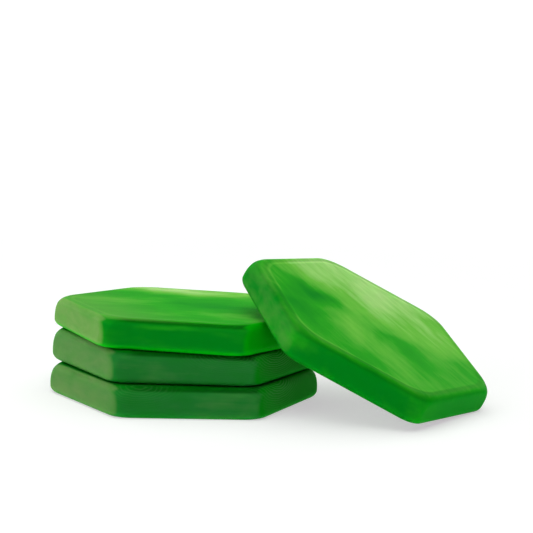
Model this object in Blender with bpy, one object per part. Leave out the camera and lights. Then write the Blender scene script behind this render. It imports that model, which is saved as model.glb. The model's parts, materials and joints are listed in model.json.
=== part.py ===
"""Four cast-resin hexagon drink coasters: three stacked flat, one leaning on the stack.

Units are metres, +Z is up and the table is the plane z = 0. The origin is the centre of the
bottom coaster's underside. Every coaster is the same casting, posed four times, except that the
middle one was poured out of level and is thicker on its -X side. Each object's own origin is the
centre of its coaster's underside, and the leaning coaster's is on its hinge.
"""

import math

import bmesh
import bpy
from mathutils import Matrix, Vector

# The casting.
ACROSS_FLATS = 0.1016
THICKNESS = 0.0127
SIDE_DRAFT = 0.00060
SIDE_CORNER_RADIUS = 0.0045

# Its two rounded edges: how far each reaches down the side and in over the face, and the radius
# of the face's corners.
LOWER_EDGE = {"height": 0.0029, "inset": 0.0029, "corner_radius": 0.0110}
UPPER_EDGE = {"height": 0.0031, "inset": 0.0023, "corner_radius": 0.0160}

# How finely the casting is faceted.
SIDES = 6
CORNER_STEPS = 8
SIDE_STEPS = 3
EDGE_STEPS = 5

# The stack: how far each coaster is pushed and turned on the face below it.
GAP = 0.0003
MIDDLE_SHIFT = Vector((0.00029, 0.00495))
MIDDLE_TURN = math.radians(-2.40)
TOP_SHIFT = Vector((-0.00030, 0.00030))
TOP_TURN = math.radians(-5.20)

# How far out of level the middle coaster's upper face was poured.
MIDDLE_SLOPE = math.radians(1.27)

# The leaning coaster: which way it slopes down, how steeply, and its turn on its own face.
LEAN_HEADING = math.radians(-33.05)
LEAN_TILT = math.radians(29.02)
LEAN_TURN = math.radians(22.80)
LEAN_CENTRE = Vector((0.07347, -0.01570, 0.02514))

# The leaning coaster tips up about the edge that it stands on.
HINGE_POINT = Vector((0.1222, -0.0259, 0.0029))

RESIN_COLOURS = {
    "bottom_coaster": (0.020, 0.170, 0.035),
    "middle_coaster": (0.022, 0.190, 0.035),
    "top_coaster": (0.055, 0.260, 0.045),
    "leaning_coaster": (0.090, 0.400, 0.070),
}
RESIN_ROUGHNESS = 0.42


def clear_scene():
    """Remove every object that the new file starts with."""
    for scene_object in list(bpy.data.objects):
        bpy.data.objects.remove(scene_object, do_unlink=True)


def resin(name):
    """A satin green resin for one coaster."""
    material = bpy.data.materials.new(name + "_resin")
    material.use_nodes = True
    shader = material.node_tree.nodes["Principled BSDF"]
    shader.inputs["Base Color"].default_value = (*RESIN_COLOURS[name], 1.0)
    shader.inputs["Roughness"].default_value = RESIN_ROUGHNESS
    return material


def hexagon_outline(apothem, corner_radius):
    """Points round a regular hexagon with rounded corners, the first corner on +X."""
    points = []
    corner_reach = (apothem - corner_radius) / math.cos(math.pi / SIDES)
    for corner in range(SIDES):
        corner_angle = corner * math.tau / SIDES
        centre = Vector((math.cos(corner_angle), math.sin(corner_angle))) * corner_reach
        for step in range(CORNER_STEPS + 1):
            angle = corner_angle + (step / CORNER_STEPS - 0.5) * math.tau / SIDES
            points.append(centre + Vector((math.cos(angle), math.sin(angle))) * corner_radius)
    return points


def half_profile(side, edge):
    """Levels of one half, from the middle height outwards: (height, how far rolled over, edge)."""
    half_height = THICKNESS / 2.0
    levels = []
    for step in range(SIDE_STEPS):
        levels.append((side * (half_height - edge["height"]) * step / SIDE_STEPS, 0.0, edge))
    for step in range(EDGE_STEPS + 1):
        roll = step / EDGE_STEPS * math.pi / 2.0
        height = side * (half_height - edge["height"] * (1.0 - math.sin(roll)))
        levels.append((height, 1.0 - math.cos(roll), edge))
    return levels


def coaster_rings(slope):
    """Outlines from the underside to the upper face, with corners that round off away from the middle."""
    half_height = THICKNESS / 2.0
    levels = list(reversed(half_profile(-1.0, LOWER_EDGE))) + half_profile(1.0, UPPER_EDGE)[1:]
    rings = []
    for height, rolled, edge in levels:
        share = height / half_height
        apothem = ACROSS_FLATS / 2.0 - edge["inset"] * rolled - SIDE_DRAFT * share
        corner_radius = SIDE_CORNER_RADIUS + (edge["corner_radius"] - SIDE_CORNER_RADIUS) * share ** 2
        lean = math.tan(slope) * (height + half_height) / THICKNESS
        rings.append([
            Vector((point.x, point.y, height + half_height - lean * point.x))
            for point in hexagon_outline(apothem, corner_radius)
        ])
    return rings


def coaster_mesh(name, slope):
    """The casting as one closed mesh, standing on its underside at the origin."""
    build = bmesh.new()
    rings = [[build.verts.new(point) for point in ring] for ring in coaster_rings(slope)]
    for lower, upper in zip(rings, rings[1:]):
        for index in range(len(lower)):
            following = (index + 1) % len(lower)
            build.faces.new((lower[index], lower[following], upper[following], upper[index]))
    build.faces.new(reversed(rings[0]))
    build.faces.new(rings[-1])
    bmesh.ops.recalc_face_normals(build, faces=build.faces)
    mesh = bpy.data.meshes.new(name)
    build.to_mesh(mesh)
    build.free()
    mesh.shade_smooth()
    mesh.set_sharp_from_angle(angle=math.radians(30.0))
    return mesh


def add_coaster(name, pose, origin, slope=0.0):
    """Add one coaster in its pose, with its object origin moved to the given point."""
    mesh = coaster_mesh(name, slope)
    mesh.transform(Matrix.Translation(-origin) @ pose)
    coaster = bpy.data.objects.new(name, mesh)
    coaster.location = origin
    coaster.data.materials.append(resin(name))
    bpy.context.scene.collection.objects.link(coaster)


def pose_on(below, slope_below, shift, turn):
    """Pose of a coaster lying on the upper face of the one below it."""
    face = Matrix.Translation((0.0, 0.0, THICKNESS)) @ Matrix.Rotation(slope_below, 4, "Y")
    place = Matrix.Translation((shift.x, shift.y, GAP)) @ Matrix.Rotation(turn, 4, "Z")
    return below @ face @ place


def leaning_pose():
    """Pose of the coaster that stands on the table and leans on the top of the stack."""
    slope = Matrix.Rotation(LEAN_HEADING, 4, "Z") @ Matrix.Rotation(LEAN_TILT, 4, "Y")
    return Matrix.Translation(LEAN_CENTRE) @ slope @ Matrix.Rotation(LEAN_TURN, 4, "Z")


clear_scene()
bottom_pose = Matrix.Identity(4)
middle_pose = pose_on(bottom_pose, 0.0, MIDDLE_SHIFT, MIDDLE_TURN)
top_pose = pose_on(middle_pose, MIDDLE_SLOPE, TOP_SHIFT, TOP_TURN)
add_coaster("bottom_coaster", bottom_pose, bottom_pose.to_translation())
add_coaster("middle_coaster", middle_pose, middle_pose.to_translation(), MIDDLE_SLOPE)
add_coaster("top_coaster", top_pose, top_pose.to_translation())
add_coaster("leaning_coaster", leaning_pose(), HINGE_POINT)
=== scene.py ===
"""The looks of a set of cast-resin hexagon coasters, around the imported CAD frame. Metres, +Z up.

Each coaster is built again here, finer than its CAD solid, in a frame of its own: the middle of
its underside is the origin, +Z points through its upper face and a corner lies on +X.
"""

import json
import math

import bmesh
import bpy
from mathutils import Matrix, Vector


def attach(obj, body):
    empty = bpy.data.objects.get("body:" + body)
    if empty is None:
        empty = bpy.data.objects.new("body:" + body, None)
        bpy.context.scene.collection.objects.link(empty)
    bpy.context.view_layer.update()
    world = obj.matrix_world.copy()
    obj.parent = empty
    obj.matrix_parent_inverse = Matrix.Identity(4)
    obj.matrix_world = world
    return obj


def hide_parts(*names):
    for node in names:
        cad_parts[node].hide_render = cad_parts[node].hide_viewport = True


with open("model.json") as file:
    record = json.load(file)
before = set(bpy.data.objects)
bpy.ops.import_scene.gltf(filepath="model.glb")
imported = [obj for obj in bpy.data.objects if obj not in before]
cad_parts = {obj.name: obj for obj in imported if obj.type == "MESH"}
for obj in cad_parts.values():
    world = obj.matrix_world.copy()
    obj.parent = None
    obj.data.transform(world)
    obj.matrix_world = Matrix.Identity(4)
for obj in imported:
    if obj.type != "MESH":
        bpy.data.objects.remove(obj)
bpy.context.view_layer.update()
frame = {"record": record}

# The casting.
SIDES = 6
ACROSS_FLATS = 0.1016
THICKNESS = 0.0127
SIDE_DRAFT = 0.00060
SIDE_CORNER_RADIUS = 0.0045

# Its two rounded edges: how far each reaches down the side and in over the face, and the radius
# of the face's corners.
LOWER_EDGE = {"height": 0.0029, "inset": 0.0029, "corner_radius": 0.0110}
UPPER_EDGE = {"height": 0.0031, "inset": 0.0023, "corner_radius": 0.0160}

# The upper face sinks a little inside its rim, as poured resin does when it sets. The width is a
# share of the way from the face's edge to its middle.
DISH_DEPTH = 0.00012
DISH_WIDTH = 0.08

# How finely it is meshed. The face's rings are shares of the way from its middle to its edge.
CORNER_STEPS = 16
FLAT_STEPS = 14
EDGE_STEPS = 12
SIDE_STEPS = 5
FACE_RINGS = (0.0, 0.2, 0.4, 0.55, 0.7, 0.8, 0.87, 0.92, 0.932, 0.944, 0.956, 0.968, 0.98, 0.99, 0.995)

# How much sooner than the rounding itself the edge band reaches its full strength.
BAND_RISE = 1.6

# The stack: how far each coaster is pushed and turned on the face below it.
GAP = 0.0003
MIDDLE_SHIFT = Vector((0.00029, 0.00495))
MIDDLE_TURN = math.radians(-2.40)
MIDDLE_SLOPE = math.radians(1.27)
TOP_SHIFT = Vector((-0.00030, 0.00030))
TOP_TURN = math.radians(-5.20)

# The leaning coaster: which way it slopes down, how steeply, and its turn on its own face.
LEAN_HEADING = math.radians(-33.05)
LEAN_TILT = math.radians(29.02)
LEAN_TURN = math.radians(22.80)
LEAN_CENTRE = Vector((0.07347, -0.01570, 0.02514))

# The two resins. Pale pigment hangs in them in soft clouds, and the pigment's four colours run
# from none of it, through a little and some, to full; they also paint sheen and highlights. The
# other three colours are painted: shade on the upper edge, the left wall's sheen of the lamps at
# the left, and the right wall's purer green of light through the resin.
RESINS = {
    "clear": {
        "pigment_and_sheen": (
            (0.000, 0.225, 0.009),
            (0.018, 0.360, 0.010),
            (0.140, 0.540, 0.050),
            (0.500, 0.850, 0.280),
        ),
        "painted_edge_shade": (0.000, 0.130, 0.002),
        "left_painted_sheen": (0.155, 0.310, 0.072),
        "right_painted_light": (0.000, 0.350, 0.001),
    },
    "milky": {
        "pigment_and_sheen": (
            (0.000, 0.180, 0.004),
            (0.014, 0.190, 0.028),
            (0.080, 0.270, 0.060),
            (0.200, 0.420, 0.120),
        ),
        "painted_edge_shade": (0.000, 0.085, 0.002),
        "left_painted_sheen": (0.115, 0.250, 0.066),
        "right_painted_light": (0.000, 0.220, 0.003),
    },
}
PIGMENT_STOPS = (0.0, 0.35, 0.65, 1.0)
SWIRL_COLOUR = (0.120, 0.360, 0.120)

# How the pigment is spread. Scales are per metre, along, across and down through the grain, and
# the push is in metres.
STIR_SCALE = 40.0
STIR_DETAIL = 3.0
STIR_ROUGHNESS = 0.5
STIR_PUSH = (0.020, 0.020, 0.006)
SMOKE_ROUGHNESS = 0.55
SMOKE_DISTORTION = 0.4
SEED_SPREAD = (1.0, 0.7, 0.3)
BILLOWS = {"scale": (22.0, 40.0, 50.0), "detail": 3.0}
BILLOW_STRENGTH = 0.65
STREAKS = {"scale": (60.0, 420.0, 420.0), "detail": 4.0}
STREAK_STRENGTH = 0.24
WALL_STREAKS = {"scale": (60.0, 60.0, 160.0), "detail": 3.0}
WALL_STREAK_GRAIN = 30.0

# The rings left by stirring. A wave texture turns through WAVE_RATE radians in each unit of length
# at a scale of 1, and the rings are drawn together in height.
WAVE_RATE = 20.0
SWIRL_SQUEEZE = (1.0, 1.0, 2.2)
SWIRL_DISTORTION = 4.0
SWIRL_DETAIL = 2.0
SWIRL_DETAIL_SCALE = 1.2

# The painted highlight line round the inside of the upper face, along the rim of its dish: where it
# starts and ends in the edge band, and the places along X where it is absent and full.
RIM_STARTS = (0.0, 0.25)
RIM_ENDS = (0.9, 0.3)
RIM_FADE = (0.045, 0.0)

# The painted shade on the rounded upper edge. On the milky coasters it is the shade under the coaster
# above, and it is painted weaker where the lamps at the back and the left fall: where in the edge
# band it is absent and full, the places forward of the middle between which it strengthens, and
# the share of it that the back has.
EDGE_REACH = (0.2, 0.8)
EDGE_FRONT = (-0.01, 0.035)
EDGE_BACK_SHARE = 0.5

# Depths below the upper face where each of these is absent and full: the extra colour under it,
# partly painted sheen and shade, the painted highlight line, the left wall's painted haze and the
# painted edge shade.
SURFACE_DEPTHS = (0.0015, 0.0001)
RIM_DEPTHS = (0.0004, 0.0001)
HAZE_DEPTHS = (0.0012, 0.0001)
EDGE_DEPTHS = (0.00005, 0.0004)

# The two side walls that are painted apart from the rest, by the way that they face in the
# casting's own frame. The left one is paler, a painted sheen of the lamps at the left. The right
# one is a purer green, painted light that comes through the resin, out of the left lamps' sheen.
# Each reach is how far out that way something is absent and full: the wall's painted colour, the
# left wall's painted lightening of the edge shade, and its painted haze. The colour comes further
# in on the rounded edge.
LEFT_WALL = math.radians(210.0)
RIGHT_WALL = math.radians(330.0)
WALL_REACH = (0.0494, 0.0507)
BEVEL_REACH = (0.0400, 0.0480)
HAZE_REACH = (0.0100, 0.0500)
BEVEL_INSET = 0.0018

# The frosted skin, and how far light scatters in the resin.
GRAIN_SCALE = 1500.0
GRAIN_DETAIL = 2.0
GRAIN_ROUGHNESS = 0.6
SKIN_ROUGHNESS = 0.40
SKIN_ROUGHNESS_SPREAD = 0.16
SKIN_BUMP = 0.15
SKIN_DEPTH = 0.00005
SCATTER_RADIUS = (0.3, 1.0, 0.25)
SCATTER_SCALE = 0.009
SPECULAR_LEVEL = 0.01

# What each coaster's look is made of:
#   seed, grain: where its noise starts, and the direction in degrees that its streaks run
#   level, face_sheen_and_shade: how much pigment there is, and how much more just under the upper
#   face: on the clear coasters partly a painted sheen, on the milky ones less, a painted shade
#   painted_rim_highlight: how much more pale colour there is in the painted highlight line inside
#   the upper face's edge
#   left, left_painted_haze, right: how strong the left wall's painted sheen is, also on the edge
#   shade, the painted haze that spreads from it over the upper face, and the right wall's purer
#   painted green
#   painted_edge_shade, face_border: how strong the painted shade on the upper edge is, and how
#   much of that reaches the face
#   painted_lower_edge, painted_lower_colour: how strong the lower edge's painted colour is, and
#   its colour: a painted glow of light through the resin, and on the leaning coaster painted shade
#   clouds: (centre, reach, turn in degrees, pigment), in millimetres; some are painted sheen, and
#   one is a painted highlight
#   swirls: (centre, reach, spacing of the rings, strength), in millimetres
STACKED_LOOK = {
    "resin": "milky",
    "grain": 0.0,
    "level": 0.32,
    "face_sheen_and_shade": -0.40,
    "painted_rim_highlight": 0.0,
    "left": 0.78,
    "left_painted_haze": 0.0,
    "right": 0.95,
    "painted_edge_shade": 0.90,
    "face_border": 1.0,
    "painted_lower_edge": 0.30,
    "painted_lower_colour": (0.0, 0.30, 0.010),
    "clouds": (),
}
LOOKS = {
    "bottom_coaster": {
        **STACKED_LOOK,
        "seed": 3.1,
        "swirls": (
            ((-20.0, -50.0, 14.0), (22.0, 14.0, 14.0), 1.9, 0.28),
            ((36.0, -32.0, 14.0), (26.0, 26.0, 18.0), 2.0, 0.70),
        ),
    },
    "middle_coaster": {
        **STACKED_LOOK,
        "seed": 5.7,
        "swirls": (
            ((18.0, -50.0, 14.0), (26.0, 14.0, 14.0), 1.7, 0.28),
            ((36.0, -32.0, 14.0), (26.0, 26.0, 18.0), 2.0, 1.00),
        ),
    },
    "top_coaster": {
        "resin": "clear",
        "seed": 8.3,
        "grain": 5.0,
        "level": 0.04,
        "face_sheen_and_shade": 0.30,
        "painted_rim_highlight": 0.10,
        "left": 0.80,
        "left_painted_haze": 0.37,
        "right": 0.90,
        "painted_edge_shade": 0.95,
        "face_border": 0.25,
        "painted_lower_edge": 0.70,
        "painted_lower_colour": (0.0, 0.50, 0.002),
        "clouds": (
            # A painted sheen across the back of the upper face.
            ((-8.0, 46.0, 13.0), (75.0, 26.0, 40.0), 0.0, 0.40),
            ((-40.0, 4.0, 13.0), (26.0, 40.0, 8.0), 20.0, 0.08),
            ((10.0, 0.0, 13.0), (34.0, 22.0, 30.0), 0.0, -0.18),
            ((-4.0, -51.0, 9.4), (24.0, 10.0, 1.8), 0.0, 0.22),
        ),
        "swirls": (),
    },
    "leaning_coaster": {
        "resin": "clear",
        "seed": 1.9,
        "grain": -36.0,
        "level": 0.05,
        "face_sheen_and_shade": 0.365,
        "painted_rim_highlight": 0.10,
        "left": 0.12,
        "left_painted_haze": 0.0,
        "right": 0.30,
        "painted_edge_shade": 0.45,
        "face_border": 1.0,
        "painted_lower_edge": 0.80,
        "painted_lower_colour": (0.0, 0.13, 0.003),
        "clouds": (
            # A painted sheen over the far side of the upper face.
            ((-8.0, 38.0, 13.0), (76.0, 60.0, 40.0), 0.0, 0.50),
            ((8.0, -26.0, 13.0), (44.0, 16.0, 8.0), -36.0, 0.13),
            ((-28.0, -3.0, 13.0), (20.0, 12.0, 8.0), 0.0, -0.38),
            ((-32.0, -28.0, 13.0), (20.0, 26.0, 8.0), 0.0, -0.25),
            ((14.0, -10.0, 13.0), (24.0, 10.0, 8.0), -15.0, -0.14),
            # A painted highlight on the corner between the left and front walls.
            ((-28.0, -48.5, 7.5), (8.0, 8.0, 5.0), 0.0, 0.30),
            ((-4.0, -52.0, 6.0), (32.0, 10.0, 8.0), 0.0, -0.15),
            ((44.0, -26.0, 5.0), (22.0, 22.0, 9.0), 0.0, -0.20),
        ),
        "swirls": (),
    },
}

# The floor: pale, and giving off half of full white by itself, so that shadows on it are faint. The
# glow is a little pink, against the green light that the coasters throw on the floor, and the surface
# is a little green, so that open floor stays neutral. The glow grows between the fade's two distances
# from the middle, so that the floor's edge is lost in the surround.
FLOOR_RADIUS = 1.6
FLOOR_FADE = (0.6, 1.6)
FLOOR_STEPS = 96
FLOOR_COLOUR = (0.58, 0.68, 0.58)
FLOOR_GLOW = (0.500, 0.425, 0.500)
FLOOR_FAR_GLOW = (0.720, 0.700, 0.720)
FLOOR_ROUGHNESS = 0.9

# The lights, and how strong the surround is where it is seen and as light.
SOFTBOXES = {
    # name: (place, size, power)
    "overhead": ((0.0, 0.1, 2.0), 3.6, 42.0),
    "left_back": ((-1.25, 1.15, 0.3), 1.2, 8.0),
    "left_front": ((-1.1, -0.9, 0.5), 1.0, 8.0),
    "back_low": ((0.0, 1.8, 0.4), 1.4, 2.0),
    "right_back": ((1.2, 1.1, 0.5), 1.0, 5.0),
    "front_high": ((0.0, -1.2, 1.3), 1.0, 7.0),
}
AIM = Vector((0.03, 0.0, 0.03))
WORLD_SEEN = 1.05
WORLD_LIGHT = 0.05

# The camera: its place, its turn from straight ahead, its drop below level and its roll. Its lens
# and sensor are in millimetres.
CAMERA_PLACE = Vector((-0.01756, -0.61287, 0.12916))
CAMERA_TURN = math.radians(-4.80)
CAMERA_DROP = math.radians(6.71)
CAMERA_ROLL = math.radians(2.04)
CAMERA_LENS = 96.48
SENSOR_WIDTH = 36.0

MILLIMETRE = 0.001


def pose_on(below, slope_below, shift, turn):
    """Pose of a coaster lying on the upper face of the one below it."""
    face = Matrix.Translation((0.0, 0.0, THICKNESS)) @ Matrix.Rotation(slope_below, 4, "Y")
    place = Matrix.Translation((shift.x, shift.y, GAP)) @ Matrix.Rotation(turn, 4, "Z")
    return below @ face @ place


def coaster_poses():
    """The pose of every coaster's own frame."""
    poses = {"bottom_coaster": Matrix.Identity(4)}
    poses["middle_coaster"] = pose_on(poses["bottom_coaster"], 0.0, MIDDLE_SHIFT, MIDDLE_TURN)
    poses["top_coaster"] = pose_on(poses["middle_coaster"], MIDDLE_SLOPE, TOP_SHIFT, TOP_TURN)
    slope = Matrix.Rotation(LEAN_HEADING, 4, "Z") @ Matrix.Rotation(LEAN_TILT, 4, "Y")
    lean = Matrix.Translation(LEAN_CENTRE) @ slope @ Matrix.Rotation(LEAN_TURN, 4, "Z")
    poses["leaning_coaster"] = lean
    return poses


def hexagon_outline(apothem, corner_radius):
    """Points round a rounded hexagon: an arc at each corner, then points along the flat after it."""
    points = []
    corner_reach = (apothem - corner_radius) / math.cos(math.pi / SIDES)
    for corner in range(SIDES):
        corner_angle = corner * math.tau / SIDES
        centre = Vector((math.cos(corner_angle), math.sin(corner_angle))) * corner_reach
        for step in range(CORNER_STEPS + 1):
            angle = corner_angle + (step / CORNER_STEPS - 0.5) * math.tau / SIDES
            points.append(centre + Vector((math.cos(angle), math.sin(angle))) * corner_radius)
        flat_start = points[-1]
        next_angle = corner_angle + math.tau / SIDES
        next_centre = Vector((math.cos(next_angle), math.sin(next_angle))) * corner_reach
        middle_angle = corner_angle + math.pi / SIDES
        across = Vector((math.cos(middle_angle), math.sin(middle_angle)))
        flat_end = next_centre + across * corner_radius
        for step in range(1, FLAT_STEPS):
            points.append(flat_start.lerp(flat_end, step / FLAT_STEPS))
    return points


def smooth_step(value):
    """An even ease from 0 to 1."""
    value = min(max(value, 0.0), 1.0)
    return value * value * (3.0 - 2.0 * value)


def half_profile(side, edge):
    """Levels of one half, from the middle height outwards: (height, rolled, share of face, band)."""
    half_height = THICKNESS / 2.0
    levels = []
    for step in range(SIDE_STEPS):
        height = side * (half_height - edge["height"]) * step / SIDE_STEPS
        levels.append((height, 0.0, 1.0, 0.0))
    for step in range(EDGE_STEPS + 1):
        roll = step / EDGE_STEPS
        height = side * (half_height - edge["height"] * (1.0 - math.sin(roll * math.pi / 2.0)))
        rolled = 1.0 - math.cos(roll * math.pi / 2.0)
        levels.append((height, rolled, 1.0, side * smooth_step(roll * BAND_RISE)))
    for share in reversed(FACE_RINGS):
        inward = smooth_step((1.0 - share) / DISH_WIDTH)
        sunk = DISH_DEPTH * inward if side > 0.0 else 0.0
        levels.append((side * half_height - sunk, 1.0, share, side * (1.0 - inward)))
    return levels


def coaster_levels():
    """Every level of the casting, from the middle of the underside to the middle of the upper face."""
    lower = [(*level, LOWER_EDGE) for level in half_profile(-1.0, LOWER_EDGE)]
    upper = [(*level, UPPER_EDGE) for level in half_profile(1.0, UPPER_EDGE)]
    return list(reversed(lower)) + upper[1:]


def level_outline(height, rolled, share, edge):
    """The casting's outline at one level, or one point where the level has closed up."""
    if share == 0.0:
        return [Vector((0.0, 0.0))]
    half_height = THICKNESS / 2.0
    level = min(abs(height) / half_height, 1.0)
    apothem = ACROSS_FLATS / 2.0 - edge["inset"] * rolled - SIDE_DRAFT * height / half_height
    corner_radius = SIDE_CORNER_RADIUS + (edge["corner_radius"] - SIDE_CORNER_RADIUS) * level ** 2
    return [point * share for point in hexagon_outline(apothem, corner_radius)]


def join_rings(build, lower, upper):
    """Faces between two rings of vertices, either of which may be a single point."""
    count = max(len(lower), len(upper))
    for index in range(count):
        following = (index + 1) % count
        if len(lower) == 1:
            build.faces.new((lower[0], upper[following], upper[index]))
        elif len(upper) == 1:
            build.faces.new((lower[index], lower[following], upper[0]))
        else:
            build.faces.new((lower[index], lower[following], upper[following], upper[index]))


def coaster_mesh(name, pose, slope):
    """The casting as one closed, smooth mesh.

    Each vertex keeps its place in the level casting, and an edge band that runs up to 1 over the
    rounded upper edge and down to -1 over the lower one.
    """
    half_height = THICKNESS / 2.0
    build = bmesh.new()
    band_layer = build.verts.layers.float.new("edge_band")
    place_layer = build.verts.layers.float_vector.new("cast_place")
    rings = []
    for height, rolled, share, band, edge in coaster_levels():
        lean = math.tan(slope) * (height + half_height) / THICKNESS
        ring = []
        for point in level_outline(height, rolled, share, edge):
            vert = build.verts.new((point.x, point.y, height + half_height - lean * point.x))
            vert[band_layer] = band
            vert[place_layer] = (point.x, point.y, height + half_height)
            ring.append(vert)
        rings.append(ring)
    for lower, upper in zip(rings, rings[1:]):
        join_rings(build, lower, upper)
    bmesh.ops.transform(build, matrix=pose, verts=build.verts)
    bmesh.ops.recalc_face_normals(build, faces=build.faces)
    mesh = bpy.data.meshes.new(name)
    build.to_mesh(mesh)
    build.free()
    mesh.shade_smooth()
    return mesh


class Nodes:
    """A short way to add and join the nodes of one material or world."""

    def __init__(self, tree):
        self.tree = tree

    def add(self, kind, settings=None, **inputs):
        """Add a node, set its properties, and set or join its inputs by name."""
        node = self.tree.nodes.new(kind)
        for key, value in (settings or {}).items():
            setattr(node, key, value)
        for key, value in inputs.items():
            self.put(node.inputs[key.replace("_", " ")], value)
        return node

    def put(self, socket, value):
        """Join an output to the socket, or set the socket's own value."""
        if isinstance(value, bpy.types.NodeSocket):
            self.tree.links.new(value, socket)
        else:
            socket.default_value = value

    def math(self, operation, first, second=0.0, third=0.0):
        """One Math node's result."""
        node = self.tree.nodes.new("ShaderNodeMath")
        node.operation = operation
        for socket, value in zip(node.inputs, (first, second, third)):
            self.put(socket, value)
        return node.outputs[0]

    def product(self, *values):
        """All the values multiplied together."""
        result = values[0]
        for value in values[1:]:
            result = self.math("MULTIPLY", result, value)
        return result

    def vector(self, operation, first, second):
        """One Vector Math node's vector."""
        node = self.tree.nodes.new("ShaderNodeVectorMath")
        node.operation = operation
        for socket, value in zip(node.inputs, (first, second)):
            self.put(socket, value)
        return node.outputs["Vector"]

    def axis(self, vector, name):
        """One coordinate of a vector."""
        return self.add("ShaderNodeSeparateXYZ", Vector=vector).outputs[name]

    def ramp(self, factor, low, high):
        """A smooth step: 0 at low and 1 at high, where low may be the larger of the two."""
        node = self.tree.nodes.new("ShaderNodeMapRange")
        node.interpolation_type = "SMOOTHSTEP"
        self.put(node.inputs["Value"], factor)
        self.put(node.inputs["From Min"], low)
        self.put(node.inputs["From Max"], high)
        return node.outputs["Result"]

    def mix(self, factor, first, second):
        """A colour part of the way from first to second."""
        node = self.add("ShaderNodeMix", {"data_type": "RGBA"})
        colours = {socket.name: socket for socket in node.inputs if socket.type == "RGBA"}
        self.put(node.inputs["Factor"], factor)
        self.put(colours["A"], first)
        self.put(colours["B"], second)
        return next(socket for socket in node.outputs if socket.type == "RGBA")


def opaque(colour):
    """A colour with full alpha."""
    return (*colour, 1.0)


def millimetres(values):
    """A place or a reach given in millimetres, in metres."""
    return [value * MILLIMETRE for value in values]


def turned(nodes, place, centre, degrees):
    """The place as seen by something turned in the casting's plane by so many degrees."""
    return nodes.add(
        "ShaderNodeVectorRotate", Vector=place, Center=centre, Angle=math.radians(-degrees)
    ).outputs["Vector"]


def stirred(nodes, place):
    """The place pushed about a little, so that clouds have soft, uneven edges."""
    push = nodes.add(
        "ShaderNodeTexNoise", Vector=place, Scale=STIR_SCALE, Detail=STIR_DETAIL, Roughness=STIR_ROUGHNESS
    ).outputs["Color"]
    centred = nodes.vector("SUBTRACT", push, (0.5, 0.5, 0.5))
    return nodes.vector("ADD", place, nodes.vector("MULTIPLY", centred, STIR_PUSH))


def cloud(nodes, place, centre, reach, degrees=0.0):
    """A soft oval, 1 at its centre and 0 at its reach, both in millimetres."""
    middle = millimetres(centre)
    offset = nodes.vector("SUBTRACT", turned(nodes, place, middle, degrees), middle)
    scaled = nodes.vector("DIVIDE", offset, millimetres(reach))
    distance = nodes.add("ShaderNodeVectorMath", {"operation": "LENGTH"}, Vector=scaled).outputs["Value"]
    return nodes.ramp(distance, 1.0, 0.0)


def smoke(nodes, place, seed, degrees, scale, detail):
    """Noise drawn out along one direction of the casting, centred on 0."""
    stretched = nodes.add(
        "ShaderNodeMapping",
        Vector=turned(nodes, place, (0.0, 0.0, 0.0), degrees),
        Location=[seed * share for share in SEED_SPREAD],
        Scale=scale,
    ).outputs["Vector"]
    noise = nodes.add(
        "ShaderNodeTexNoise",
        Vector=stretched,
        Scale=1.0,
        Detail=detail,
        Roughness=SMOKE_ROUGHNESS,
        Distortion=SMOKE_DISTORTION,
    ).outputs["Fac"]
    return nodes.math("SUBTRACT", noise, 0.5)


def swirl(nodes, place, centre, reach, spacing):
    """Uneven rings left by stirring, fading away from their centre. Its sizes are in millimetres."""
    offset = nodes.vector("SUBTRACT", place, millimetres(centre))
    rings = nodes.add(
        "ShaderNodeTexWave",
        {"wave_type": "RINGS", "rings_direction": "SPHERICAL"},
        Vector=nodes.vector("MULTIPLY", offset, SWIRL_SQUEEZE),
        Scale=math.tau / WAVE_RATE / (spacing * MILLIMETRE),
        Distortion=SWIRL_DISTORTION,
        Detail=SWIRL_DETAIL,
        Detail_Scale=SWIRL_DETAIL_SCALE,
    ).outputs["Fac"]
    centred = nodes.math("SUBTRACT", rings, 0.5)
    return nodes.math("MULTIPLY", centred, cloud(nodes, place, centre, reach))


def wall(nodes, place, heading, reach_range, bevel=0.0):
    """1 on the side that faces a heading, easing to 0 as the reach that way shrinks."""
    dot = nodes.add("ShaderNodeVectorMath", {"operation": "DOT_PRODUCT"})
    nodes.put(dot.inputs[0], place)
    nodes.put(dot.inputs[1], (math.cos(heading), math.sin(heading), 0.0))
    reach = nodes.math("MULTIPLY_ADD", bevel, BEVEL_INSET, dot.outputs["Value"])
    return nodes.ramp(reach, *reach_range)


def depth_fade(nodes, place, depths):
    """A fade between two depths below the upper face: 0 at the first and 1 at the second."""
    return nodes.ramp(nodes.axis(place, "Z"), THICKNESS - depths[0], THICKNESS - depths[1])


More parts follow.
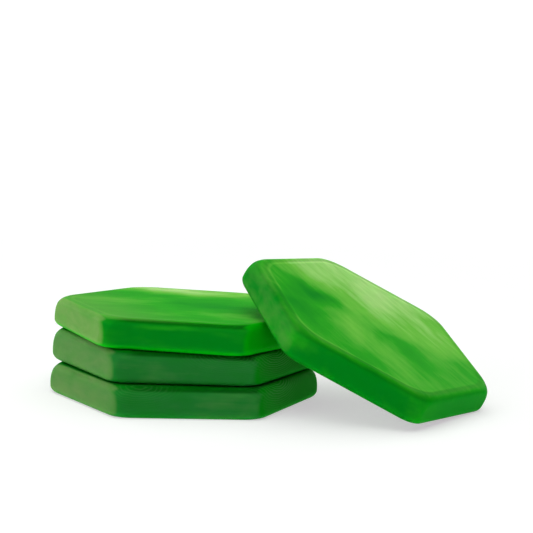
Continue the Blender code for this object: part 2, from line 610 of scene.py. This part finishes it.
def pigment_and_sheen(nodes, place, band, look):
    """How much pale pigment there is, from 0 to 1, with painted sheen and highlights added in."""
    moved = stirred(nodes, place)
    billows = smoke(nodes, moved, look["seed"], look["grain"], **BILLOWS)
    streaks = smoke(nodes, place, look["seed"], look["grain"], **STREAKS)
    amount = nodes.math("MULTIPLY_ADD", billows, BILLOW_STRENGTH, look["level"])
    amount = nodes.math("MULTIPLY_ADD", streaks, STREAK_STRENGTH, amount)
    # Just under the upper face: partly painted sheen on the clear coasters, painted shade on the milky ones.
    face_sheen_and_shade = depth_fade(nodes, place, SURFACE_DEPTHS)
    amount = nodes.math("MULTIPLY_ADD", face_sheen_and_shade, look["face_sheen_and_shade"], amount)
    # A painted highlight line along the rim of the upper face's dish.
    painted_rim_highlight = nodes.product(
        nodes.ramp(band, *RIM_STARTS),
        nodes.ramp(band, *RIM_ENDS),
        depth_fade(nodes, place, RIM_DEPTHS),
        nodes.ramp(nodes.axis(place, "X"), *RIM_FADE),
    )
    amount = nodes.math("MULTIPLY_ADD", painted_rim_highlight, look["painted_rim_highlight"], amount)
    # Clouds of pigment, some of them painted sheen and a painted highlight.
    for centre, reach, degrees, strength in look["clouds"]:
        amount = nodes.math("MULTIPLY_ADD", cloud(nodes, moved, centre, reach, degrees), strength, amount)
    return amount


def pigment_and_sheen_colour(nodes, amount, resin):
    """The resin's colour for an amount of pigment or of painted sheen."""
    ramp = nodes.add("ShaderNodeValToRGB", Fac=amount)
    stops = ramp.color_ramp.elements
    for position in PIGMENT_STOPS[1:-1]:
        stops.new(position)
    for stop, position, colour in zip(stops, PIGMENT_STOPS, resin["pigment_and_sheen"]):
        stop.position = position
        stop.color = opaque(colour)
    return ramp.outputs["Color"]


def painted_edge_shade(nodes, place, band, look):
    """How much painted shade darkens the rounded upper edge: most at the front, least at the left."""
    forward = nodes.math("SUBTRACT", 0.0, nodes.axis(place, "Y"))
    front = nodes.ramp(forward, *EDGE_FRONT)
    from_back = nodes.math("MULTIPLY_ADD", front, 1.0 - EDGE_BACK_SHARE, EDGE_BACK_SHARE)
    # The edge shade is painted lighter at the left, where the left lamps fall.
    left_bevel = wall(nodes, place, LEFT_WALL, BEVEL_REACH)
    off_left = nodes.math("MULTIPLY_ADD", left_bevel, -look["left"], 1.0)
    off_face = nodes.math("MAXIMUM", depth_fade(nodes, place, EDGE_DEPTHS), look["face_border"])
    return nodes.product(nodes.ramp(band, *EDGE_REACH), look["painted_edge_shade"], from_back, off_left, off_face)


def left_sheen_amount(nodes, place, bevel, look):
    """How much of the left wall's streaky painted sheen there is, with its painted haze over the upper face.
    """
    streaks = smoke(nodes, place, look["seed"], WALL_STREAK_GRAIN, **WALL_STREAKS)
    left_painted_sheen = wall(nodes, place, LEFT_WALL, WALL_REACH, bevel)
    streaky = nodes.math("MULTIPLY", left_painted_sheen, nodes.math("ADD", streaks, look["left"]))
    # The left lamps' painted haze, spread over the upper face.
    spread = wall(nodes, place, LEFT_WALL, HAZE_REACH)
    haze = nodes.product(spread, look["left_painted_haze"], depth_fade(nodes, place, HAZE_DEPTHS))
    return nodes.math("MAXIMUM", streaky, haze)


def resin_colour(nodes, place, band, look):
    """The resin's colour all over one coaster, with its painted light and shade."""
    resin = RESINS[look["resin"]]
    bevel = nodes.ramp(band, 0.0, 1.0)
    colour = pigment_and_sheen_colour(nodes, pigment_and_sheen(nodes, place, band, look), resin)
    # Painted shade on the rounded upper edge.
    colour = nodes.mix(painted_edge_shade(nodes, place, band, look), colour, opaque(resin["painted_edge_shade"]))
    # Painted sheen of the lamps at the left, on the left wall and as a haze over the upper face.
    colour = nodes.mix(left_sheen_amount(nodes, place, bevel, look), colour, opaque(resin["left_painted_sheen"]))
    # A purer painted green on the right wall, for light through the resin away from the left lamps.
    right = nodes.math("MULTIPLY", wall(nodes, place, RIGHT_WALL, WALL_REACH, bevel), look["right"])
    colour = nodes.mix(right, colour, opaque(resin["right_painted_light"]))
    for centre, reach, spacing, strength in look["swirls"]:
        rings = nodes.math("MULTIPLY", swirl(nodes, place, centre, reach, spacing), strength)
        colour = nodes.mix(rings, colour, opaque(SWIRL_COLOUR))
    # The lower edge: a painted glow of light through the resin, on the leaning coaster painted shade.
    lower = nodes.math("MULTIPLY", nodes.ramp(band, 0.0, -1.0), look["painted_lower_edge"])
    return nodes.mix(lower, colour, opaque(look["painted_lower_colour"]))


def frost(nodes, place, shader):
    """A finely grained, satin skin."""
    grain = nodes.add(
        "ShaderNodeTexNoise", Vector=place, Scale=GRAIN_SCALE, Detail=GRAIN_DETAIL, Roughness=GRAIN_ROUGHNESS
    ).outputs["Fac"]
    roughness = nodes.math("MULTIPLY_ADD", grain, SKIN_ROUGHNESS_SPREAD, SKIN_ROUGHNESS)
    bump = nodes.add("ShaderNodeBump", Height=grain, Strength=SKIN_BUMP, Distance=SKIN_DEPTH)
    nodes.put(shader.inputs["Roughness"], roughness)
    nodes.put(shader.inputs["Normal"], bump.outputs["Normal"])
    shader.inputs["Specular IOR Level"].default_value = SPECULAR_LEVEL


def marbled_resin(name, look):
    """Translucent green resin with soft pale clouds, painted shade on the upper edges, painted sheen and
    highlights, and a frosted skin.
    """
    material = bpy.data.materials.new(name)
    material.use_nodes = True
    nodes = Nodes(material.node_tree)
    shader = material.node_tree.nodes["Principled BSDF"]
    place = nodes.add("ShaderNodeAttribute", {"attribute_name": "cast_place"}).outputs["Vector"]
    band = nodes.add("ShaderNodeAttribute", {"attribute_name": "edge_band"}).outputs["Fac"]
    nodes.put(shader.inputs["Base Color"], resin_colour(nodes, place, band, look))
    frost(nodes, place, shader)
    shader.inputs["Subsurface Weight"].default_value = 1.0
    shader.inputs["Subsurface Radius"].default_value = SCATTER_RADIUS
    shader.inputs["Subsurface Scale"].default_value = SCATTER_SCALE
    return material


def add_coasters():
    """A detailed coaster in place of each CAD solid."""
    poses = coaster_poses()
    for body, nodes_of_body in frame["record"]["behaviour"]["bodies"].items():
        for node in nodes_of_body:
            name = node + "_resin"
            slope = MIDDLE_SLOPE if node == "middle_coaster" else 0.0
            coaster = bpy.data.objects.new(name, coaster_mesh(name, poses[node], slope))
            coaster.data.materials.append(marbled_resin(name, LOOKS[node]))
            bpy.context.scene.collection.objects.link(coaster)
            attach(coaster, body)
            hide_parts(node)


def pale_floor():
    """The floor's matt, glowing material."""
    material = bpy.data.materials.new("floor")
    material.use_nodes = True
    nodes = Nodes(material.node_tree)
    shader = material.node_tree.nodes["Principled BSDF"]
    place = nodes.add("ShaderNodeTexCoord").outputs["Object"]
    distance = nodes.add("ShaderNodeVectorMath", {"operation": "LENGTH"}, Vector=place).outputs["Value"]
    glow = nodes.mix(nodes.ramp(distance, *FLOOR_FADE), opaque(FLOOR_GLOW), opaque(FLOOR_FAR_GLOW))
    nodes.put(shader.inputs["Emission Color"], glow)
    shader.inputs["Base Color"].default_value = opaque(FLOOR_COLOUR)
    shader.inputs["Roughness"].default_value = FLOOR_ROUGHNESS
    shader.inputs["Specular IOR Level"].default_value = 0.0
    shader.inputs["Emission Strength"].default_value = 1.0
    return material


def add_floor():
    """A plain pale disc under everything."""
    build = bmesh.new()
    bmesh.ops.create_circle(build, cap_ends=True, segments=FLOOR_STEPS, radius=FLOOR_RADIUS)
    mesh = bpy.data.meshes.new("floor")
    build.to_mesh(mesh)
    build.free()
    floor = bpy.data.objects.new("floor", mesh)
    floor.data.materials.append(pale_floor())
    bpy.context.scene.collection.objects.link(floor)


def add_lights():
    """Large square softboxes, each turned to the coasters."""
    for name, (place, size, power) in SOFTBOXES.items():
        data = bpy.data.lights.new(name, "AREA")
        data.size = size
        data.energy = power
        lamp = bpy.data.objects.new(name, data)
        lamp.location = place
        lamp.rotation_euler = (AIM - lamp.location).to_track_quat("-Z", "Y").to_euler()
        bpy.context.scene.collection.objects.link(lamp)


def add_world():
    """A pale surround: white where it is seen, and a weak fill light."""
    world = bpy.data.worlds.new("surround")
    bpy.context.scene.world = world
    world.use_nodes = True
    nodes = Nodes(world.node_tree)
    seen = nodes.add("ShaderNodeLightPath").outputs["Is Camera Ray"]
    background = world.node_tree.nodes["Background"]
    background.inputs["Color"].default_value = opaque((1.0, 1.0, 1.0))
    strength = nodes.math("MULTIPLY_ADD", seen, WORLD_SEEN - WORLD_LIGHT, WORLD_LIGHT)
    nodes.put(background.inputs["Strength"], strength)


def add_camera():
    """A camera with a long lens, in front of the coasters and looking slightly down."""
    data = bpy.data.cameras.new("camera")
    data.lens = CAMERA_LENS
    data.sensor_width = SENSOR_WIDTH
    camera = bpy.data.objects.new("camera", data)
    turn = Matrix.Rotation(CAMERA_TURN, 4, "Z")
    drop = Matrix.Rotation(math.pi / 2.0 - CAMERA_DROP, 4, "X")
    roll = Matrix.Rotation(CAMERA_ROLL, 4, "Z")
    camera.matrix_world = Matrix.Translation(CAMERA_PLACE) @ turn @ drop @ roll
    bpy.context.scene.collection.objects.link(camera)
    bpy.context.scene.camera = camera


add_coasters()
add_floor()
add_lights()
add_world()
add_camera()
bpy.context.scene.view_settings.view_transform = "Standard"
